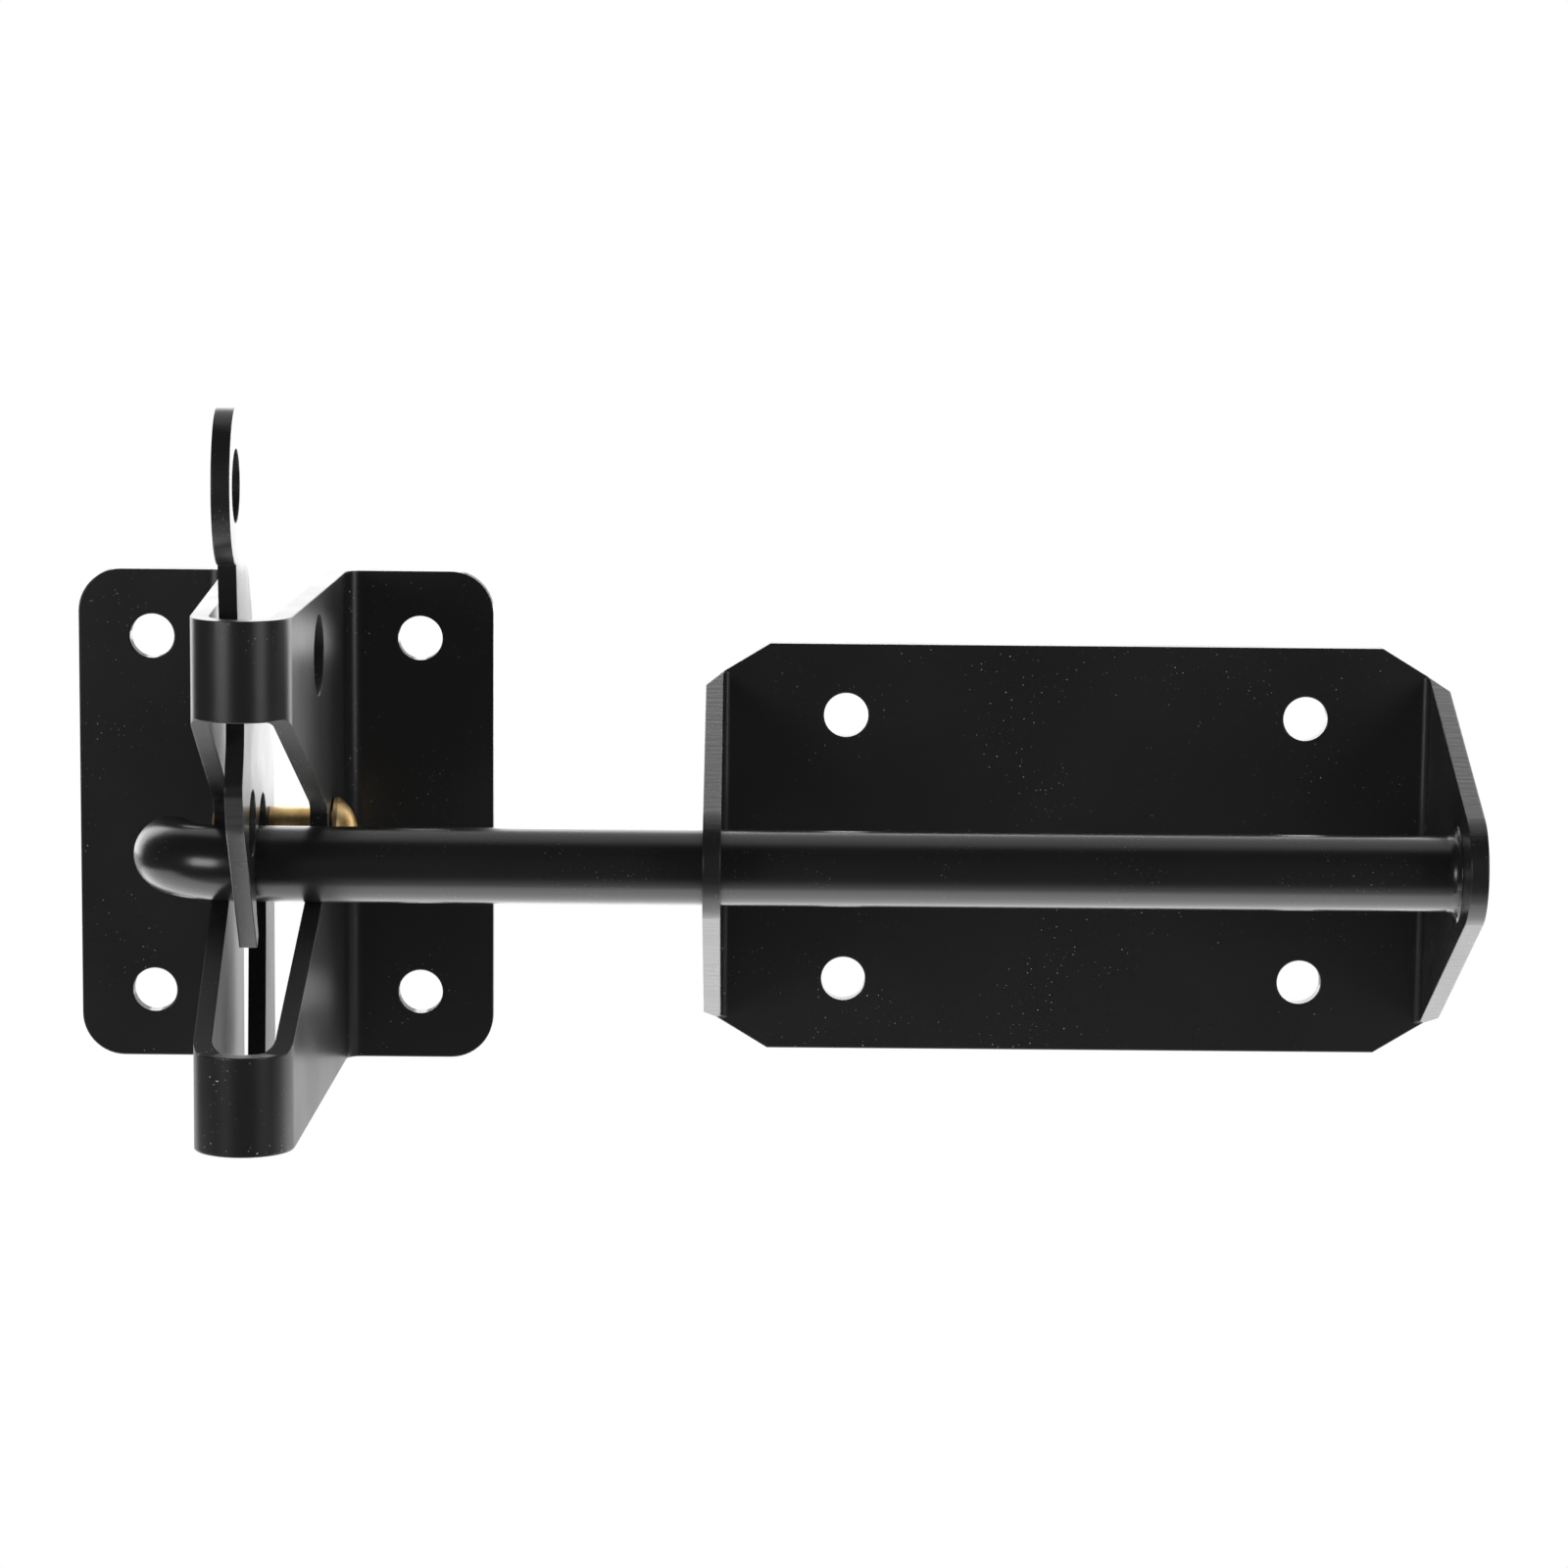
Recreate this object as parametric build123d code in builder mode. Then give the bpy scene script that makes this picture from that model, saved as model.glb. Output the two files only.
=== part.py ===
"""Self-latching gate latch with its striker bar, in the closed position.

A folded sheet body carries a drop lever on a brass rivet. A round bar, welded into a folded
bracket on the gate, lies in the throat of the body, where the hook of the lever holds it.
Frame in millimetres: X along the bar, Y into the post, Z up. The origin is the centre of the
latch body's mounting face, so everything stands in front of Y = 0.
"""
import os
from math import acos, atan2, degrees, hypot

from build123d import *

# Sheet metal
sheet = 2.8
bend_inside = 1.2
screw_hole = 7.3

# Latch body: plate, hump and straps
plate_width = 68.0
plate_height = 81.0
plate_corner = 7.0
latch_holes_x = 44.0
latch_holes_z = 59.0
body_depth = 80.0
hump_bend_inside = 2.5
nose_radius = 7.6
root_half = 10.0
strap_height = 15.2

# Throat cut through both walls of the hump
throat_root_y = -29.5
throat_root_half = 5.8
throat_root_corner = 3.0
throat_mouth_corner = 4.0
strap_lip = 4.0
padlock_hole = 12.7
padlock_y = -40.0
padlock_edge = 9.5

# Striker bar
bar_diameter = 12.0
bar_y = -38.3
bar_z = -2.45
bar_bend_x = -4.5
bar_bend_radius = 11.7
bar_bend_angle = 78.0
weld_leg = 1.8

# Striker bracket
bracket_left = 69.0
bracket_width = 121.8
bracket_height = 67.6
bracket_drop = 2.2
corner_cut_x = 10.5
corner_cut_z = 6.4
striker_holes_x = 75.7
striker_holes_z = 44.1
flange_nose_radius = 9.1
flange_nose_y = -44.9
flange_nose_rise = 1.7
flange_flare = 2.8
bar_hole_clearance = 0.15

# Lever: oval head with its pull hole, neck, beak and hook in front of the bar, leg behind it
lever_x = -2.4
pivot_y = -21.75
pivot_z = 0.5
notch_clearance = 0.4
relief_y = -32.9
relief_z = 2.3
relief_radius = 5.7
hook_tip_y = -42.4
hook_tip_z = -15.2
cord_hole = 10.4
cord_y = -48.3
cord_z = 5.5
beak_y = -60.9
beak_z = 5.9
brow_y = -63.2
brow_z = 12.6
waist_y = -58.6
waist_z = 22.1
neck_foot_y = -68.2
neck_foot_z = 39.2
neck_top_y = -70.2
neck_top_z = 52.0
head_y = -69.3
head_z = 59.7
head_half_width = 9.0
head_half_height = 11.8
pull_hole = 11.2
nape_z = 55.0
shelf_y = -54.6
shelf_z = 49.4
recess_y = -46.6
recess_top_z = 37.6
recess_foot_z = 26.4
shoulder_y = -20.6
shoulder_z = 17.6
leg_back_y = -14.5
leg_back_top_z = 12.2
leg_front_y = -28.4
leg_toe_y = -31.0
leg_end_z = -38.0
small_corner = 3.0
corner = 4.0
recess_corner = 5.0
wide_corner = 8.0
heel_corner = 2.0

# Pivot rivet, stepped so that the lever turns on its thin end, and the spacer beside the lever
shoulder_diameter = 7.5
pin_diameter = 5.0
pin_clearance = 0.08
head_diameter = 10.5
head_height = 3.6
head_rim = 0.7
tail_diameter = 6.4
tail_height = 0.6
spacer_diameter = 9.0
side_gap = 0.15
seat_gap = 0.03

# Sizes worked out from the values above
nose_y = nose_radius - body_depth
throat_mouth_y = strap_lip - body_depth
throat_mouth_half = plate_height / 2 - strap_height
padlock_z = plate_height / 2 - padlock_edge
bend_outside = bend_inside + sheet
bar_radius = bar_diameter / 2
bracket_right = bracket_left + bracket_width
bracket_x = bracket_left + bracket_width / 2
bracket_z = bar_z - bracket_drop
flange_half = bracket_height / 2 - corner_cut_z
flange_root_half = flange_half + flange_flare
pin_hole = pin_diameter + 2 * pin_clearance
shoulder_hole = shoulder_diameter + 2 * pin_clearance


def wall_outside(y):
    """Half width of the hump at depth y, on its straight walls."""
    return nose_radius + (root_half - nose_radius) * (y - nose_y) / -nose_y


def upright_edges(piece, reach, y, middle=0.0):
    """Vertical edges at depth y that lie within reach of the plane X = middle."""
    upright = piece.edges().filter_by(Axis.Z)
    near = [edge for edge in upright if abs(edge.center().X - middle) < reach]
    return [edge for edge in near if abs(edge.center().Y - y) < sheet / 10]


# Latch body: one sheet folded into a hat, with the throat and the padlock hole punched
with BuildPart() as latch_body:
    with BuildSketch(Plane.XZ):
        RectangleRounded(plate_width, plate_height, plate_corner)
        with GridLocations(latch_holes_x, latch_holes_z, 2, 2):
            Circle(screw_hole / 2, mode=Mode.SUBTRACT)
    extrude(amount=sheet)
    with BuildSketch(Plane.XY.offset(-plate_height / 2)):
        with BuildLine():
            CenterArc((0, nose_y), nose_radius, 0, 360)
            Line((-root_half, 0), (root_half, 0))
        make_hull()
    extrude(amount=plate_height)
    with BuildSketch(Plane.XY.offset(-plate_height / 2)):
        with BuildLine():
            CenterArc((0, nose_y), nose_radius - sheet, 0, 360)
            Line((sheet - root_half, 0), (root_half - sheet, 0))
        make_hull()
    extrude(amount=plate_height, mode=Mode.SUBTRACT)
    fillet(upright_edges(latch_body, root_half, -sheet), hump_bend_inside)
    fillet(upright_edges(latch_body, root_half, 0), hump_bend_inside + sheet)
    with BuildSketch(Plane.YZ):
        with BuildLine():
            Polyline(
                (-body_depth - sheet, throat_mouth_half),
                (throat_mouth_y, throat_mouth_half),
                (throat_root_y, throat_root_half),
                (throat_root_y, -throat_root_half),
                (throat_mouth_y, -throat_mouth_half),
                (-body_depth - sheet, -throat_mouth_half),
                close=True,
            )
        throat = make_face()
        fillet(throat.vertices().group_by(Axis.X)[-1], throat_root_corner)
        fillet(throat.vertices().group_by(Axis.X)[1], throat_mouth_corner)
        with Locations((padlock_y, padlock_z)):
            Circle(padlock_hole / 2)
    extrude(amount=plate_width, both=True, mode=Mode.SUBTRACT)
    with BuildSketch(Plane.YZ):
        with Locations((pivot_y, pivot_z)):
            Circle(shoulder_hole / 2)
    extrude(amount=plate_width, mode=Mode.SUBTRACT)
    with BuildSketch(Plane.YZ):
        with Locations((pivot_y, pivot_z)):
            Circle(pin_hole / 2)
    extrude(amount=-plate_width, mode=Mode.SUBTRACT)
latch_body.part.label = "latch_body"

# Striker bar: round bar with its domed free end bent back, flared by its weld at the other end
with BuildPart() as striker_bar:
    with BuildLine(Plane.XY.offset(bar_z)):
        straight = Line((bracket_right - sheet, bar_y), (bar_bend_x, bar_y))
        bend = JernArc(straight @ 1, straight % 1, bar_bend_radius, -bar_bend_angle)
    with BuildSketch(Plane(straight @ 0, z_dir=straight % 0)):
        Circle(bar_radius)
    sweep()
    with Locations(bend @ 1):
        Sphere(bar_radius)
    with BuildSketch(Plane.XZ.offset(-bar_y)):
        weld_z = bar_z + bar_radius
        weld_x = bracket_right - sheet
        with BuildLine():
            Polyline((weld_x - weld_leg, weld_z), (weld_x, weld_z), (weld_x, weld_z + weld_leg))
            RadiusArc((weld_x, weld_z + weld_leg), (weld_x - weld_leg, weld_z), weld_leg)
        make_face()
    revolve(axis=Axis((0, bar_y, bar_z), (1, 0, 0)))
striker_bar.part.label = "striker_bar"

# Striker bracket: one sheet folded into a shallow channel with a pointed flange at each end
flange_reach = flange_nose_radius - flange_nose_y
with BuildPart() as striker_bracket:
    floor_plane = Plane.XY.offset(bracket_z - bracket_height / 2)
    with BuildSketch(floor_plane):
        with Locations((bracket_x, -flange_reach / 2)):
            Rectangle(bracket_width, flange_reach)
        fillet(vertices().group_by(Axis.Y)[-1], bend_outside)
        with BuildSketch(mode=Mode.PRIVATE) as inside:
            with Locations((bracket_x, -sheet - flange_reach / 2)):
                Rectangle(bracket_width - 2 * sheet, flange_reach)
            fillet(vertices().group_by(Axis.Y)[-1], bend_inside)
        add(inside.sketch, mode=Mode.SUBTRACT)
    extrude(amount=bracket_height)
    with BuildSketch(Plane.YZ.offset(bracket_left)):
        with BuildLine():
            CenterArc((flange_nose_y, bar_z + flange_nose_rise), flange_nose_radius, 0, 360)
            Line((0, bracket_z - flange_root_half), (0, bracket_z + flange_root_half))
        make_hull()
        with Locations((-sheet / 2, bracket_z)):
            Rectangle(sheet, bracket_height)
    extrude(amount=bracket_width, mode=Mode.INTERSECT)
    with BuildSketch(Plane.XZ):
        with Locations((bracket_x, bracket_z)):
            half_x, half_z = bracket_width / 2, bracket_height / 2
            Polygon(
                (half_x - corner_cut_x, half_z),
                (half_x, flange_half),
                (half_x, -flange_half),
                (half_x - corner_cut_x, -half_z),
                (corner_cut_x - half_x, -half_z),
                (-half_x, -flange_half),
                (-half_x, flange_half),
                (corner_cut_x - half_x, half_z),
            )
            with GridLocations(striker_holes_x, striker_holes_z, 2, 2):
                Circle(screw_hole / 2, mode=Mode.SUBTRACT)
    extrude(amount=flange_reach, mode=Mode.INTERSECT)
    with BuildSketch(Plane.YZ.offset(bracket_left - sheet)):
        with Locations((bar_y, bar_z)):
            Circle(bar_radius + bar_hole_clearance)
    extrude(amount=3 * sheet, mode=Mode.SUBTRACT)
striker_bracket.part.label = "striker_bracket"

# Lever: flat plate cut to its outline, with arcs about the pivot where it must pass the bar
bar_orbit = hypot(bar_y - pivot_y, bar_z - pivot_z)
bar_angle = degrees(atan2(bar_z - pivot_z, bar_y - pivot_y))
notch_half = bar_radius + notch_clearance
leg_angle = -degrees(acos((leg_front_y - pivot_y) / (bar_orbit - notch_half)))
tip_angle = degrees(atan2(hook_tip_z - pivot_z, hook_tip_y - pivot_y))
with BuildPart() as lever:
    with BuildSketch(Plane.YZ.offset(lever_x - sheet / 2)):
        with BuildLine():
            pivot = (pivot_y, pivot_z)
            front_edge = FilletPolyline(
                (head_y, head_z),
                (neck_top_y, neck_top_z),
                (neck_foot_y, neck_foot_z),
                (waist_y, waist_z),
                (brow_y, brow_z),
                (beak_y, beak_z),
                (hook_tip_y, hook_tip_z),
                radius=(small_corner, wide_corner, wide_corner, small_corner, small_corner),
            )
            hook_inside = CenterArc(pivot, bar_orbit + notch_half, tip_angle, bar_angle - tip_angle)
            Line(front_edge @ 1, hook_inside @ 0)
            notch_top = CenterArc((bar_y, bar_z), notch_half, bar_angle, -180)
            notch_back = CenterArc(pivot, bar_orbit - notch_half, bar_angle, leg_angle - bar_angle)
            leg_edge = FilletPolyline(
                notch_back @ 1,
                (leg_front_y, hook_tip_z),
                (leg_toe_y, leg_end_z),
                (leg_back_y, leg_end_z),
                (leg_back_y, leg_back_top_z),
                (shoulder_y, shoulder_z),
                (recess_y, recess_foot_z),
                (recess_y, recess_top_z),
                (shelf_y, shelf_z),
                (head_y + head_half_width, nape_z),
                (head_y + head_half_width, head_z),
                radius=(
                    wide_corner,
                    heel_corner,
                    corner,
                    corner,
                    corner,
                    corner,
                    recess_corner,
                    corner,
                    small_corner,
                ),
            )
            Line(leg_edge @ 1, front_edge @ 0)
        make_face()
        with Locations((head_y, head_z)):
            Ellipse(head_half_width, head_half_height)
            Circle(pull_hole / 2, mode=Mode.SUBTRACT)
        with Locations((relief_y, relief_z)):
            Circle(relief_radius, mode=Mode.SUBTRACT)
        with Locations((cord_y, cord_z)):
            Circle(cord_hole / 2, mode=Mode.SUBTRACT)
        with Locations((pivot_y, pivot_z)):
            Circle(pin_hole / 2, mode=Mode.SUBTRACT)
    extrude(amount=sheet)
lever.part.label = "lever"

# Pivot rivet: brass, domed head on the right wall, shoulder up to the lever, small tail on the left
head_seat = wall_outside(pivot_y + head_diameter / 2) + seat_gap
tail_seat = -wall_outside(pivot_y + tail_diameter / 2) - seat_gap
shoulder_end = lever_x + sheet / 2 + side_gap
with BuildPart() as pivot_pin:
    with BuildSketch(Plane.XZ.offset(-pivot_y)):
        with BuildLine():
            Polyline(
                (head_seat + head_height, pivot_z),
                (tail_seat - tail_height, pivot_z),
                (tail_seat - tail_height, pivot_z + pin_diameter / 2),
                (tail_seat - tail_height / 2, pivot_z + tail_diameter / 2),
                (tail_seat, pivot_z + tail_diameter / 2),
                (tail_seat, pivot_z + pin_diameter / 2),
                (shoulder_end, pivot_z + pin_diameter / 2),
                (shoulder_end, pivot_z + shoulder_diameter / 2),
                (head_seat, pivot_z + shoulder_diameter / 2),
                (head_seat, pivot_z + head_diameter / 2),
                (head_seat + head_rim, pivot_z + head_diameter / 2),
            )
            dome_rise = head_height - head_rim
            dome_radius = ((head_diameter / 2) ** 2 + dome_rise ** 2) / (2 * dome_rise)
            RadiusArc(
                (head_seat + head_height, pivot_z),
                (head_seat + head_rim, pivot_z + head_diameter / 2),
                -dome_radius,
            )
        make_face()
    revolve(axis=Axis((0, pivot_y, pivot_z), (1, 0, 0)))
pivot_pin.part.label = "pivot_pin"

# Spacer ring on the rivet, between the lever and the left wall
spacer_left = side_gap + sheet - wall_outside(pivot_y - spacer_diameter / 2)
spacer_right = lever_x - sheet / 2 - side_gap
with BuildPart() as pivot_washer:
    with BuildSketch(Plane.YZ.offset(spacer_left)):
        with Locations((pivot_y, pivot_z)):
            Circle(spacer_diameter / 2)
            Circle(pin_hole / 2, mode=Mode.SUBTRACT)
    extrude(amount=spacer_right - spacer_left)
pivot_washer.part.label = "pivot_washer"

os.makedirs("parts", exist_ok=True)
for piece in (latch_body, lever, pivot_pin, pivot_washer, striker_bracket, striker_bar):
    export_step(piece.part, f"parts/{piece.part.label}.step")
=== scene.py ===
"""Looks of a self-latching gate latch and its striker bar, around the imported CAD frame.

Lengths are metres. X runs along the bar, Y into the post, Z up, from the middle of the latch
body's mounting face.
"""
import math

import bpy
from mathutils import Matrix, Vector

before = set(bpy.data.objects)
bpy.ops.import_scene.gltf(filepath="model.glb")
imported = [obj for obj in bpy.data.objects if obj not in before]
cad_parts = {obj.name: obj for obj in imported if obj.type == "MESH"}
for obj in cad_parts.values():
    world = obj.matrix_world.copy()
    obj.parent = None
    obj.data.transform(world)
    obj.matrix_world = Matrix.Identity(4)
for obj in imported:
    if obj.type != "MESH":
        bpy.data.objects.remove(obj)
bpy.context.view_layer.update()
scene = bpy.context.scene
scene.view_settings.view_transform = "Standard"


# Camera
# It stands where the photograph's camera stood: in front of the bar, a little above it, and
# turned down by eight degrees. The long lens keeps the plates nearly square to the view.
picture_width_px = 1600
focal_length_px = 4865.8
sensor_width_mm = 36.0
camera_place = Vector((0.07516, -0.78135, 0.11851))
camera_yaw = math.radians(0.498)
camera_pitch = math.radians(8.235)
camera_roll = math.radians(0.575)
camera_data = bpy.data.cameras.new("camera")
camera_data.sensor_width = sensor_width_mm
camera_data.lens = sensor_width_mm * focal_length_px / picture_width_px
camera_data.clip_end = 20.0
camera = bpy.data.objects.new("camera", camera_data)
camera.matrix_world = (
    Matrix.Translation(camera_place)
    @ Matrix.Rotation(-camera_yaw, 4, "Z")
    @ Matrix.Rotation(math.pi / 2 - camera_pitch, 4, "X")
    @ Matrix.Rotation(camera_roll, 4, "Z")
)
scene.collection.objects.link(camera)
scene.camera = camera


# Node helpers
def add_math(tree, kind, first, second):
    """Math node on two inputs, each a socket or a plain number. Returns its output."""
    node = tree.nodes.new("ShaderNodeMath")
    node.operation = kind
    for slot, value in ((0, first), (1, second)):
        if isinstance(value, (int, float)):
            node.inputs[slot].default_value = value
        else:
            tree.links.new(value, node.inputs[slot])
    return node.outputs[0]


def add_remap(tree, source, low, high, to_low=0.0, to_high=1.0, smooth=False):
    """Maps source from low..high to to_low..to_high and holds it at the ends."""
    node = tree.nodes.new("ShaderNodeMapRange")
    if smooth:
        node.interpolation_type = "SMOOTHSTEP"
    for name, value in (("From Min", low), ("From Max", high), ("To Min", to_low), ("To Max", to_high)):
        node.inputs[name].default_value = value
    tree.links.new(source, node.inputs["Value"])
    return node.outputs["Result"]


def add_noise(tree, place, scale, detail):
    """Noise over the coordinates in place."""
    node = tree.nodes.new("ShaderNodeTexNoise")
    node.inputs["Scale"].default_value = scale
    node.inputs["Detail"].default_value = detail
    tree.links.new(place, node.inputs["Vector"])
    return node.outputs["Fac"]


def add_bump(tree, height, distance, normal):
    """Full-strength bump of a height over a normal. The distance is a socket or metres."""
    node = tree.nodes.new("ShaderNodeBump")
    node.inputs["Strength"].default_value = 1.0
    if isinstance(distance, float):
        node.inputs["Distance"].default_value = distance
    else:
        tree.links.new(distance, node.inputs["Distance"])
    tree.links.new(height, node.inputs["Height"])
    tree.links.new(normal, node.inputs["Normal"])
    return node.outputs["Normal"]


# Black powder coat
# Sprayed polyester powder, melted to a satin film. It lies about 0.1 mm thick, with a faint
# orange peel, and it carries the few grains of dust that settled before the picture was taken.
def coat_group():
    """Group with the film's colour, roughness and normal. Peel is fine noise in metres of Object
    space, dust is the bright tips of a very fine noise, and the film rounds every cut edge. A face
    whose normal leans along Cut Axes was sheared, and has fine marks that run through the sheet. Cut
    Dullness roughens the slanted ones, such as the throat, and leaves the square ends as they are."""
    tree = bpy.data.node_groups.new("powder_coat", "ShaderNodeTree")
    for name, kind, value in (
        ("Film Color", "NodeSocketColor", (0.012, 0.012, 0.012, 1.0)),
        ("Gloss", "NodeSocketFloat", 0.24),
        ("Peel Depth", "NodeSocketFloat", 0.00002),
        ("Dust", "NodeSocketFloat", 0.5),
        ("Edge Radius", "NodeSocketFloat", 0.0004),
        ("Cut Axes", "NodeSocketVector", (0.0, 0.0, 1.0)),
        ("Cut Depth", "NodeSocketFloat", 0.00004),
        ("Cut Dullness", "NodeSocketFloat", 0.0),
    ):
        socket = tree.interface.new_socket(name, in_out="INPUT", socket_type=kind)
        socket.default_value = value
    for name, kind in (
        ("Color", "NodeSocketColor"),
        ("Roughness", "NodeSocketFloat"),
        ("Normal", "NodeSocketVector"),
    ):
        tree.interface.new_socket(name, in_out="OUTPUT", socket_type=kind)
    nodes, links = tree.nodes, tree.links
    setting = nodes.new("NodeGroupInput").outputs
    group_out = nodes.new("NodeGroupOutput")
    coordinates = nodes.new("ShaderNodeTexCoord")
    place = coordinates.outputs["Object"]

    grains = add_remap(tree, add_noise(tree, place, 3200.0, 0.0), 0.79, 0.83)
    patches = add_remap(tree, add_noise(tree, place, 70.0, 2.0), 0.46, 0.60)
    dust_color = (0.55, 0.55, 0.53, 1.0)
    dust_roughness = 0.4
    dust = add_math(tree, "MULTIPLY", add_math(tree, "MULTIPLY", grains, patches), setting["Dust"])
    tone = nodes.new("ShaderNodeMix")
    tone.data_type = "RGBA"
    links.new(dust, tone.inputs["Factor"])
    links.new(setting["Film Color"], tone.inputs["A"])
    tone.inputs["B"].default_value = dust_color
    links.new(tone.outputs["Result"], group_out.inputs["Color"])

    facing = nodes.new("ShaderNodeVectorMath")
    facing.operation = "ABSOLUTE"
    links.new(coordinates.outputs["Normal"], facing.inputs[0])
    lean = nodes.new("ShaderNodeVectorMath")
    lean.operation = "DOT_PRODUCT"
    links.new(facing.outputs[0], lean.inputs[0])
    links.new(setting["Cut Axes"], lean.inputs[1])
    cut_face = add_remap(tree, lean.outputs["Value"], 0.15, 0.30)
    slanted = add_remap(tree, lean.outputs["Value"], 0.94, 0.98, 1.0, 0.0)

    cloud = add_remap(tree, add_noise(tree, place, 45.0, 3.0), 0.35, 0.65, -0.02, 0.03)
    rough = add_math(tree, "ADD", setting["Gloss"], cloud)
    rough = add_math(tree, "ADD", rough, add_math(tree, "MULTIPLY", dust, dust_roughness))
    slanted_cut = add_math(tree, "MULTIPLY", cut_face, slanted)
    dull = add_math(tree, "MULTIPLY", slanted_cut, setting["Cut Dullness"])
    links.new(add_math(tree, "ADD", rough, dull), group_out.inputs["Roughness"])

    across = nodes.new("ShaderNodeVectorMath")
    across.operation = "MULTIPLY"
    shear_stretch = (0.12, 1.0, 1.0)
    across.inputs[1].default_value = shear_stretch
    links.new(place, across.inputs[0])
    shear = add_noise(tree, across.outputs[0], 1100.0, 2.0)
    marks = add_math(tree, "MULTIPLY", shear, cut_face)

    arris = nodes.new("ShaderNodeBevel")
    arris.samples = 6
    links.new(setting["Edge Radius"], arris.inputs["Radius"])
    normal = add_bump(tree, marks, setting["Cut Depth"], arris.outputs["Normal"])
    normal = add_bump(tree, add_noise(tree, place, 700.0, 2.0), setting["Peel Depth"], normal)
    links.new(normal, group_out.inputs["Normal"])
    return tree


powder_coat = coat_group()


def coat_material(name, gloss, peel_depth, dust, cut_axes, cut_dullness=0.0):
    """Satin black coat on one piece, with its own gloss, orange peel, dust and sheared faces."""
    material = bpy.data.materials.new(name)
    material.use_nodes = True
    nodes, links = material.node_tree.nodes, material.node_tree.links
    shader = nodes["Principled BSDF"]
    shader.inputs["IOR"].default_value = 1.5
    film = nodes.new("ShaderNodeGroup")
    film.node_tree = powder_coat
    film.inputs["Gloss"].default_value = gloss
    film.inputs["Peel Depth"].default_value = peel_depth
    film.inputs["Dust"].default_value = dust
    film.inputs["Cut Axes"].default_value = cut_axes
    film.inputs["Cut Dullness"].default_value = cut_dullness
    links.new(film.outputs["Color"], shader.inputs["Base Color"])
    links.new(film.outputs["Roughness"], shader.inputs["Roughness"])
    links.new(film.outputs["Normal"], shader.inputs["Normal"])
    return material


def dress(node, material):
    """Puts the material on every slot of a CAD node."""
    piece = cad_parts[node]
    if not piece.material_slots:
        piece.data.materials.append(material)
    for slot in piece.material_slots:
        slot.material = material


# Latch body
# One sheet, punched, folded to a hat and coated after folding.
dress("latch_body", coat_material("black_coat_body", 0.30, 0.00001, 0.7, (0, 0, 1), 0.3))

# Lever
# Flat plate cut to a hook and a pull ring, coated before it was riveted in.
dress("lever", coat_material("black_coat_lever", 0.28, 0.00001, 0.4, (0, 1, 1)))

# Striker bracket
# Folded channel, coated together with the bar that is welded into it.
dress("striker_bracket", coat_material("black_coat_bracket", 0.30, 0.00001, 0.7, (0, 0, 1)))

# Striker bar
# Drawn round bar, bent back at its free end, under the same coat. Its right end is welded to the
# flange, and the bead shows its ripples through the coat on its lower side.
bead_start = 0.1866
bead_end = 0.1876
bead_top = -0.004
bead_fade = 0.002
bead_depth = 0.0004


def bead_ripples(material):
    """Adds a bump to the material's normal: coarse noise that grows from bead_start to bead_end
    along X, and lies below Z = bead_top."""
    tree = material.node_tree
    normal_in = tree.nodes["Principled BSDF"].inputs["Normal"]
    film_normal = normal_in.links[0].from_socket
    place = tree.nodes.new("ShaderNodeTexCoord").outputs["Object"]
    split = tree.nodes.new("ShaderNodeSeparateXYZ")
    tree.links.new(place, split.inputs[0])
    reach = add_remap(tree, split.outputs["X"], bead_start, bead_end)
    under = add_remap(tree, split.outputs["Z"], bead_top, bead_top - bead_fade)
    heaped = add_math(tree, "MULTIPLY", add_noise(tree, place, 420.0, 3.0), reach)
    heaped = add_math(tree, "MULTIPLY", heaped, under)
    tree.links.new(add_bump(tree, heaped, bead_depth, film_normal), normal_in)
    return material


bar_coat = coat_material("black_coat_bar", 0.24, 0.000006, 0.15, (0, 0, 0))
dress("striker_bar", bead_ripples(bar_coat))

# Spacer ring on the rivet
dress("pivot_washer", coat_material("black_coat_washer", 0.30, 0.00001, 0.2, (0, 1, 1)))


# Pivot rivet
# Brass, put in after coating, with a dull, slightly stained skin.
def brass_material():
    """Brass whose colour and roughness both follow one fine stain."""
    material = bpy.data.materials.new("brass_rivet")
    material.use_nodes = True
    tree = material.node_tree
    shader = tree.nodes["Principled BSDF"]
    shader.inputs["Metallic"].default_value = 1.0
    stain = add_noise(tree, tree.nodes.new("ShaderNodeTexCoord").outputs["Object"], 400.0, 3.0)
    tone = tree.nodes.new("ShaderNodeValToRGB")
    low, high = tone.color_ramp.elements
    low.position, low.color = 0.35, (0.45, 0.28, 0.11, 1.0)
    high.position, high.color = 0.65, (0.80, 0.58, 0.28, 1.0)
    tree.links.new(stain, tone.inputs["Fac"])
    tree.links.new(tone.outputs["Color"], shader.inputs["Base Color"])
    tree.links.new(add_remap(tree, stain, 0.0, 1.0, 0.28, 0.5), shader.inputs["Roughness"])
    return material


dress("pivot_pin", brass_material())


# Floor
# A plain pale sheet well below the latch. The camera sees it as plain white, gloss rays pass it to
# the white room below, and it still takes the latch's shadow.
floor_height = -0.30
floor_half = 3.0


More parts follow.
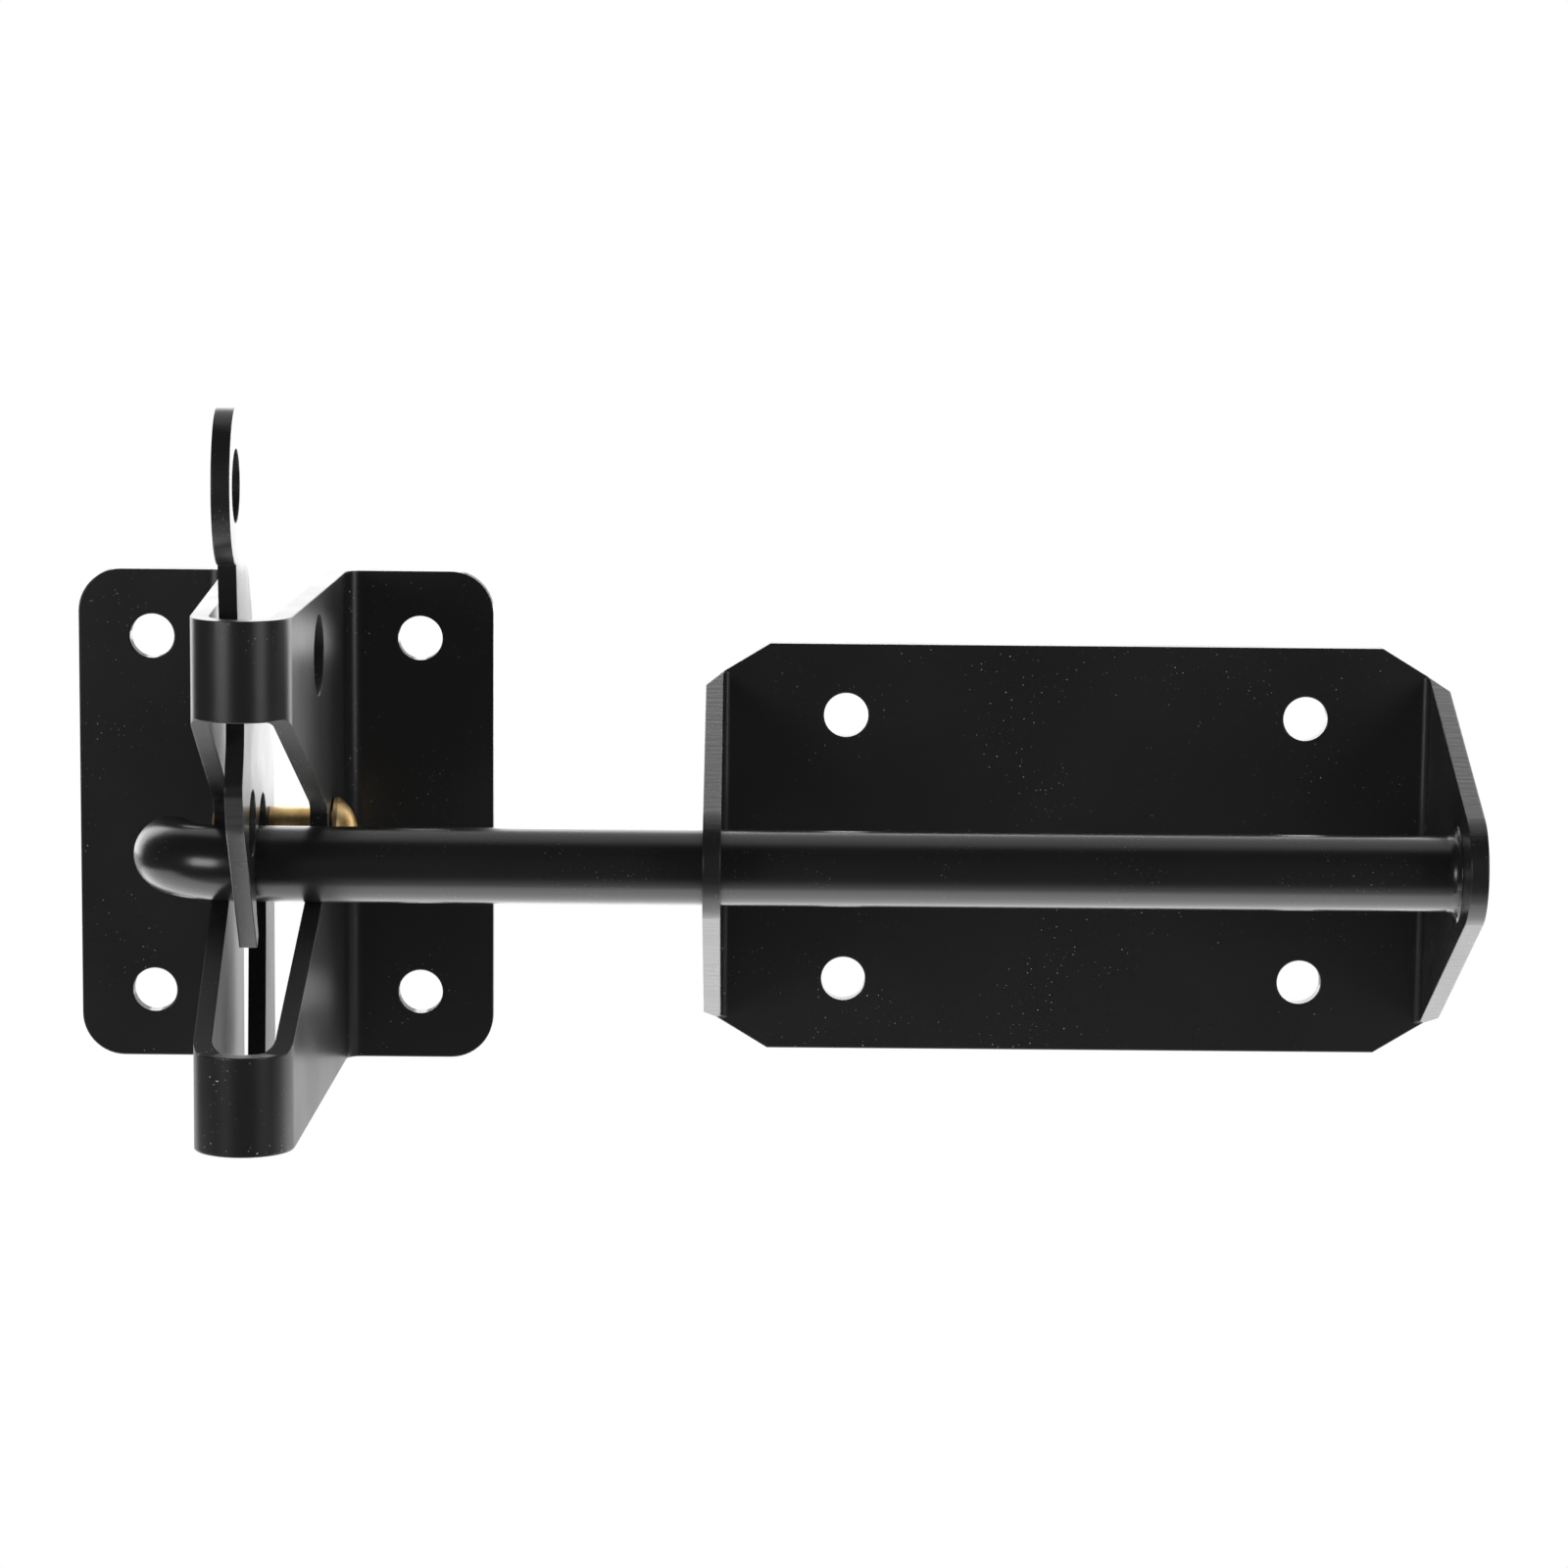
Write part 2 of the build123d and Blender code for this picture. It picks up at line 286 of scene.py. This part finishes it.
def floor_material():
    """White to the camera, clear to gloss rays and from below, and a pale diffuse sheet for all
    other light."""
    material = bpy.data.materials.new("pale_floor")
    material.use_nodes = True
    nodes, links = material.node_tree.nodes, material.node_tree.links
    nodes.remove(nodes["Principled BSDF"])
    output = nodes["Material Output"]
    sheet = nodes.new("ShaderNodeBsdfDiffuse")
    sheet.inputs["Color"].default_value = (0.8, 0.8, 0.8, 1.0)
    glow = nodes.new("ShaderNodeEmission")
    clear = nodes.new("ShaderNodeBsdfTransparent")
    path = nodes.new("ShaderNodeLightPath")
    seen = nodes.new("ShaderNodeMixShader")
    links.new(path.outputs["Is Camera Ray"], seen.inputs["Fac"])
    links.new(sheet.outputs[0], seen.inputs[1])
    links.new(glow.outputs[0], seen.inputs[2])
    underside = nodes.new("ShaderNodeNewGeometry").outputs["Backfacing"]
    see_through = add_math(material.node_tree, "MAXIMUM", path.outputs["Is Glossy Ray"], underside)
    gloss = nodes.new("ShaderNodeMixShader")
    links.new(see_through, gloss.inputs["Fac"])
    links.new(seen.outputs[0], gloss.inputs[1])
    links.new(clear.outputs[0], gloss.inputs[2])
    links.new(gloss.outputs[0], output.inputs["Surface"])
    return material


floor_mesh = bpy.data.meshes.new("floor")
signs = ((-1, -1), (1, -1), (1, 1), (-1, 1))
corners = [(sx * floor_half, sy * floor_half, floor_height) for sx, sy in signs]
floor_mesh.from_pydata(corners, [], [(0, 1, 2, 3)])
floor_mesh.materials.append(floor_material())
floor = bpy.data.objects.new("floor", floor_mesh)
scene.collection.objects.link(floor)


# Room
# White behind and below the latch, dark on the camera's side and at the left, as in a studio booth.
dark_side = 0.045
left_turn = 1.1
right_turn = 0.35


def room():
    """World colour by direction: white for camera rays, and for the rest dark towards the camera's
    side, rising to white behind and below. The two turns push the white back at each side, so it
    reaches further round on the right."""
    world = bpy.data.worlds.new("room")
    scene.world = world
    world.use_nodes = True
    tree = world.node_tree
    nodes, links = tree.nodes, tree.links
    output = nodes["World Output"]
    booth = nodes["Background"]
    booth.inputs["Color"].default_value = (1.0, 1.0, 1.0, 1.0)
    white = nodes.new("ShaderNodeBackground")
    white.inputs["Color"].default_value = (1.0, 1.0, 1.0, 1.0)
    coordinates = nodes.new("ShaderNodeTexCoord")
    split = nodes.new("ShaderNodeSeparateXYZ")
    links.new(coordinates.outputs["Generated"], split.inputs[0])

    left = add_math(tree, "MULTIPLY", add_math(tree, "MINIMUM", split.outputs["X"], 0.0), left_turn)
    right = add_math(tree, "MULTIPLY", add_math(tree, "MAXIMUM", split.outputs["X"], 0.0), -right_turn)
    backward = add_math(tree, "ADD", split.outputs["Y"], add_math(tree, "ADD", left, right))
    behind = add_remap(tree, backward, -0.35, 0.05, smooth=True)
    below = add_remap(tree, split.outputs["Z"], -0.45, -0.85, smooth=True)
    light = add_math(tree, "MAXIMUM", behind, below)
    links.new(add_remap(tree, light, 0.0, 1.0, dark_side, 1.0), booth.inputs["Strength"])
    path = nodes.new("ShaderNodeLightPath")
    mix = nodes.new("ShaderNodeMixShader")
    links.new(path.outputs["Is Camera Ray"], mix.inputs["Fac"])
    links.new(booth.outputs[0], mix.inputs[1])
    links.new(white.outputs[0], mix.inputs[2])
    links.new(mix.outputs[0], output.inputs["Surface"])


room()


# Lamps
# Soft boxes at the camera's left and right, a wide panel under and behind the latch, and a light
# wall behind it, which puts the white gleam on every face that is seen at a slant.
def soft_box(name, place, aim, width, height, power):
    """Rectangular area lamp at place, turned to aim, and out of the camera's sight."""
    data = bpy.data.lights.new(name, "AREA")
    data.shape = "RECTANGLE"
    data.size = width
    data.size_y = height
    data.energy = power
    lamp = bpy.data.objects.new(name, data)
    lamp.location = place
    lamp.rotation_euler = (Vector(aim) - Vector(place)).to_track_quat("-Z", "Y").to_euler()
    lamp.visible_camera = False
    scene.collection.objects.link(lamp)
    return lamp


hook = (-0.02, -0.04, 0.0)
middle = (0.08, -0.03, 0.0)
soft_box("left_box", (-0.64, -0.85, 0.14), hook, 0.52, 0.34, 3.8)
soft_box("right_box", (0.82, -0.76, 0.20), middle, 0.45, 0.60, 3.0)
soft_box("under_panel", (0.08, 0.20, -0.28), (0.08, 0.20, 0.0), 1.6, 0.8, 7.6)
soft_box("back_wall", (0.20, 0.80, 0.315), (0.20, 0.0, 0.315), 2.4, 0.87, 13.6)
